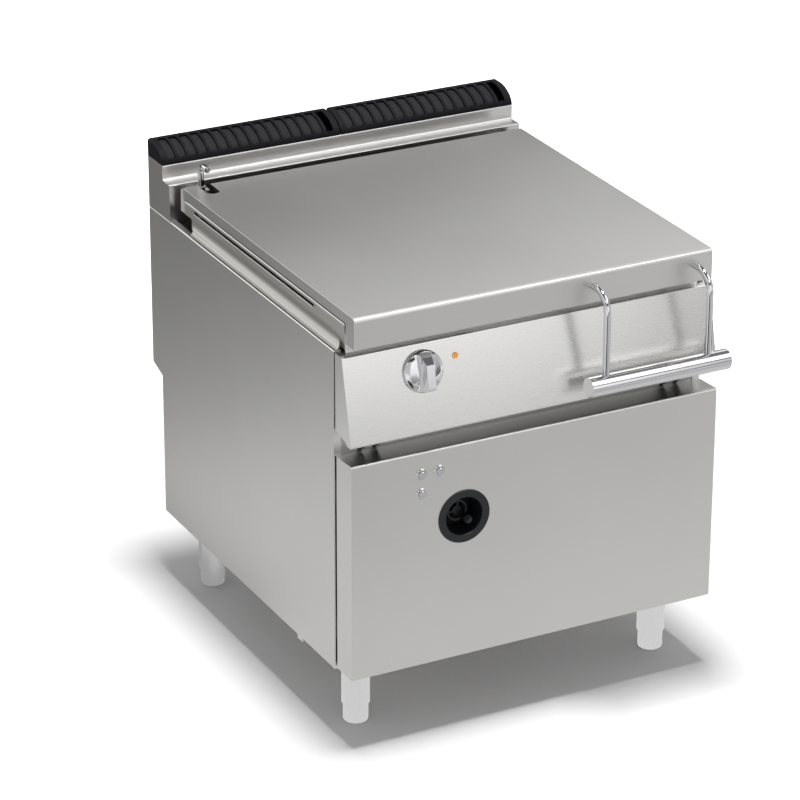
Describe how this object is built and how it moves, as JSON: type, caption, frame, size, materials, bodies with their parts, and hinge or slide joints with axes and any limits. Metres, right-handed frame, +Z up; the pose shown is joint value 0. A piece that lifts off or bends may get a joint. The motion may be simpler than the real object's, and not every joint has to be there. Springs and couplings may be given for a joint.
{
  "type": "tilting bratt pan",
  "caption": "Free-standing tilting bratt pan: steel cabinet on adjustable feet, heated rectangular pan tilted by a crank and worm gear, hinged lid with bar handle, rear flue column.",
  "frame": {"origin": "on the floor under the middle of the whole outline, handle included", "axes": "+X to the operator's right, +Y to the rear, +Z up; the front faces -Y"},
  "size_m": [0.8, 0.963, 0.955],
  "materials": {
    "steel_panel": "satin",
    "steel_front": "fine horizontal brushing",
    "steel_pan": "satin",
    "steel_frame": "dull",
    "chrome": "polished",
    "black_enamel": "satin enamel",
    "black_plastic": "satin",
    "lamp_lens": "translucent",
    "bronze": "turned",
    "drive_iron": "painted",
    "copper": "drawn",
    "rubber_pad": "matt",
    "element_sheath": "oxidised"
  },
  "bodies": {
    "cabinet": {"side_panel_left": "steel_panel", "side_panel_right": "steel_panel", "rear_panel": "steel_panel", "base_tray": "steel_panel", "front_rail": "steel_frame", "rear_rail": "steel_frame", "rest_pads": "rubber_pad", "cross_beam": "steel_frame", "front_panel": "steel_front", "crank_recess": "black_plastic", "button_bezels": "chrome", "gearbox_housing": "drive_iron", "gearbox_cover": "drive_iron", "gearbox_bushes": "bronze", "tilt_brackets": "steel_frame", "leg_sleeves": "steel_pan", "flue_housing": "steel_pan", "flue_grille_left": "black_enamel", "flue_grille_right": "black_enamel", "water_spout": "chrome", "spout_bracket": "steel_frame", "water_pipe": "copper", "water_valve": "bronze", "water_inlet": "bronze", "cable_gland": "black_plastic", "terminal_box": "black_plastic"},
    "pan": {"pan_vessel": "steel_pan", "pan_deck": "steel_pan", "jacket_left": "steel_pan", "jacket_right": "steel_pan", "pour_trough": "steel_pan", "heating_tray": "steel_frame", "heating_elements": "element_sheath", "tilt_arms": "steel_frame", "link_lug": "steel_frame", "control_panel": "steel_front", "thermostat": "black_plastic", "pilot_lamp": "lamp_lens", "lid_brackets": "steel_pan"},
    "lid": {"lid_shell": "steel_pan", "lid_ears": "steel_pan", "handle_arms": "chrome", "handle_bar": "steel_pan"},
    "knob": {"control_knob": "chrome"},
    "button_1": {"button_left": "chrome"},
    "button_2": {"button_right": "chrome"},
    "button_3": {"button_lower": "chrome"},
    "drive_wheel": {"crank_wheel": "black_plastic", "worm_shaft": "steel_frame", "worm": "bronze"},
    "grip": {"crank_grip": "black_plastic"},
    "crank": {"crank_shaft": "steel_frame", "worm_wheel": "bronze", "crank_arm": "drive_iron"},
    "link": {"tilt_link": "drive_iron"},
    "foot_1": {"foot_front_left": "steel_pan"},
    "foot_2": {"foot_front_right": "steel_pan"},
    "foot_3": {"foot_rear_left": "steel_pan"},
    "foot_4": {"foot_rear_right": "steel_pan"}
  },
  "joints": [
    {"name": "pan_tilt", "type": "hinge", "parent": "cabinet", "child": "pan", "pos_m": [0, -0.3965, 0.64], "axis": [1, 0, 0], "range_deg": [0, 75]},
    {"name": "lid_hinge", "type": "hinge", "parent": "pan", "child": "lid", "pos_m": [0, 0.3535, 0.879], "axis": [-1, 0, 0], "range_deg": [0, 80]},
    {"name": "knob_turn", "type": "hinge", "parent": "pan", "child": "knob", "pos_m": [-0.235, -0.39392, 0.753], "axis": [0, -0.9752, 0.2215], "range_deg": [0, 300]},
    {"name": "drive_turn", "type": "hinge", "parent": "cabinet", "child": "drive_wheel", "pos_m": [-0.159, -0.3915, 0.448], "axis": [0, -1, 0], "range_deg": [0, 3000]},
    {"name": "grip_spin", "type": "hinge", "parent": "drive_wheel", "child": "grip", "pos_m": [-0.14486, -0.4065, 0.43386], "axis": [0, -1, 0], "continuous": true},
    {"name": "crank_turn", "type": "hinge", "parent": "cabinet", "child": "crank", "pos_m": [-0.159, -0.2615, 0.5005], "axis": [1, 0, 0], "range_deg": [0, 75]},
    {"name": "link_swing", "type": "hinge", "parent": "crank", "child": "link", "pos_m": [-0.11, -0.0932, 0.4765], "axis": [1, 0, 0], "range_deg": [-75, 0]},
    {"name": "button_left_press", "type": "slide", "parent": "cabinet", "child": "button_1", "axis": [0, 1, 0], "range_m": [0, 0.003], "stiffness_N_per_m": 300},
    {"name": "button_right_press", "type": "slide", "parent": "cabinet", "child": "button_2", "axis": [0, 1, 0], "range_m": [0, 0.003], "stiffness_N_per_m": 300},
    {"name": "button_lower_press", "type": "slide", "parent": "cabinet", "child": "button_3", "axis": [0, 1, 0], "range_m": [0, 0.003], "stiffness_N_per_m": 300},
    {"name": "foot_front_left_screw", "type": "slide", "parent": "cabinet", "child": "foot_1", "axis": [0, 0, -1], "range_m": [0, 0.05]},
    {"name": "foot_front_right_screw", "type": "slide", "parent": "cabinet", "child": "foot_2", "axis": [0, 0, -1], "range_m": [0, 0.05]},
    {"name": "foot_rear_left_screw", "type": "slide", "parent": "cabinet", "child": "foot_3", "axis": [0, 0, -1], "range_m": [0, 0.05]},
    {"name": "foot_rear_right_screw", "type": "slide", "parent": "cabinet", "child": "foot_4", "axis": [0, 0, -1], "range_m": [0, 0.05]}
  ],
  "couplings": [
    {"joint": "drive_turn", "follows": "pan_tilt", "ratio": 40},
    {"joint": "crank_turn", "follows": "pan_tilt", "ratio": 1},
    {"joint": "link_swing", "follows": "pan_tilt", "ratio": -1}
  ]
}
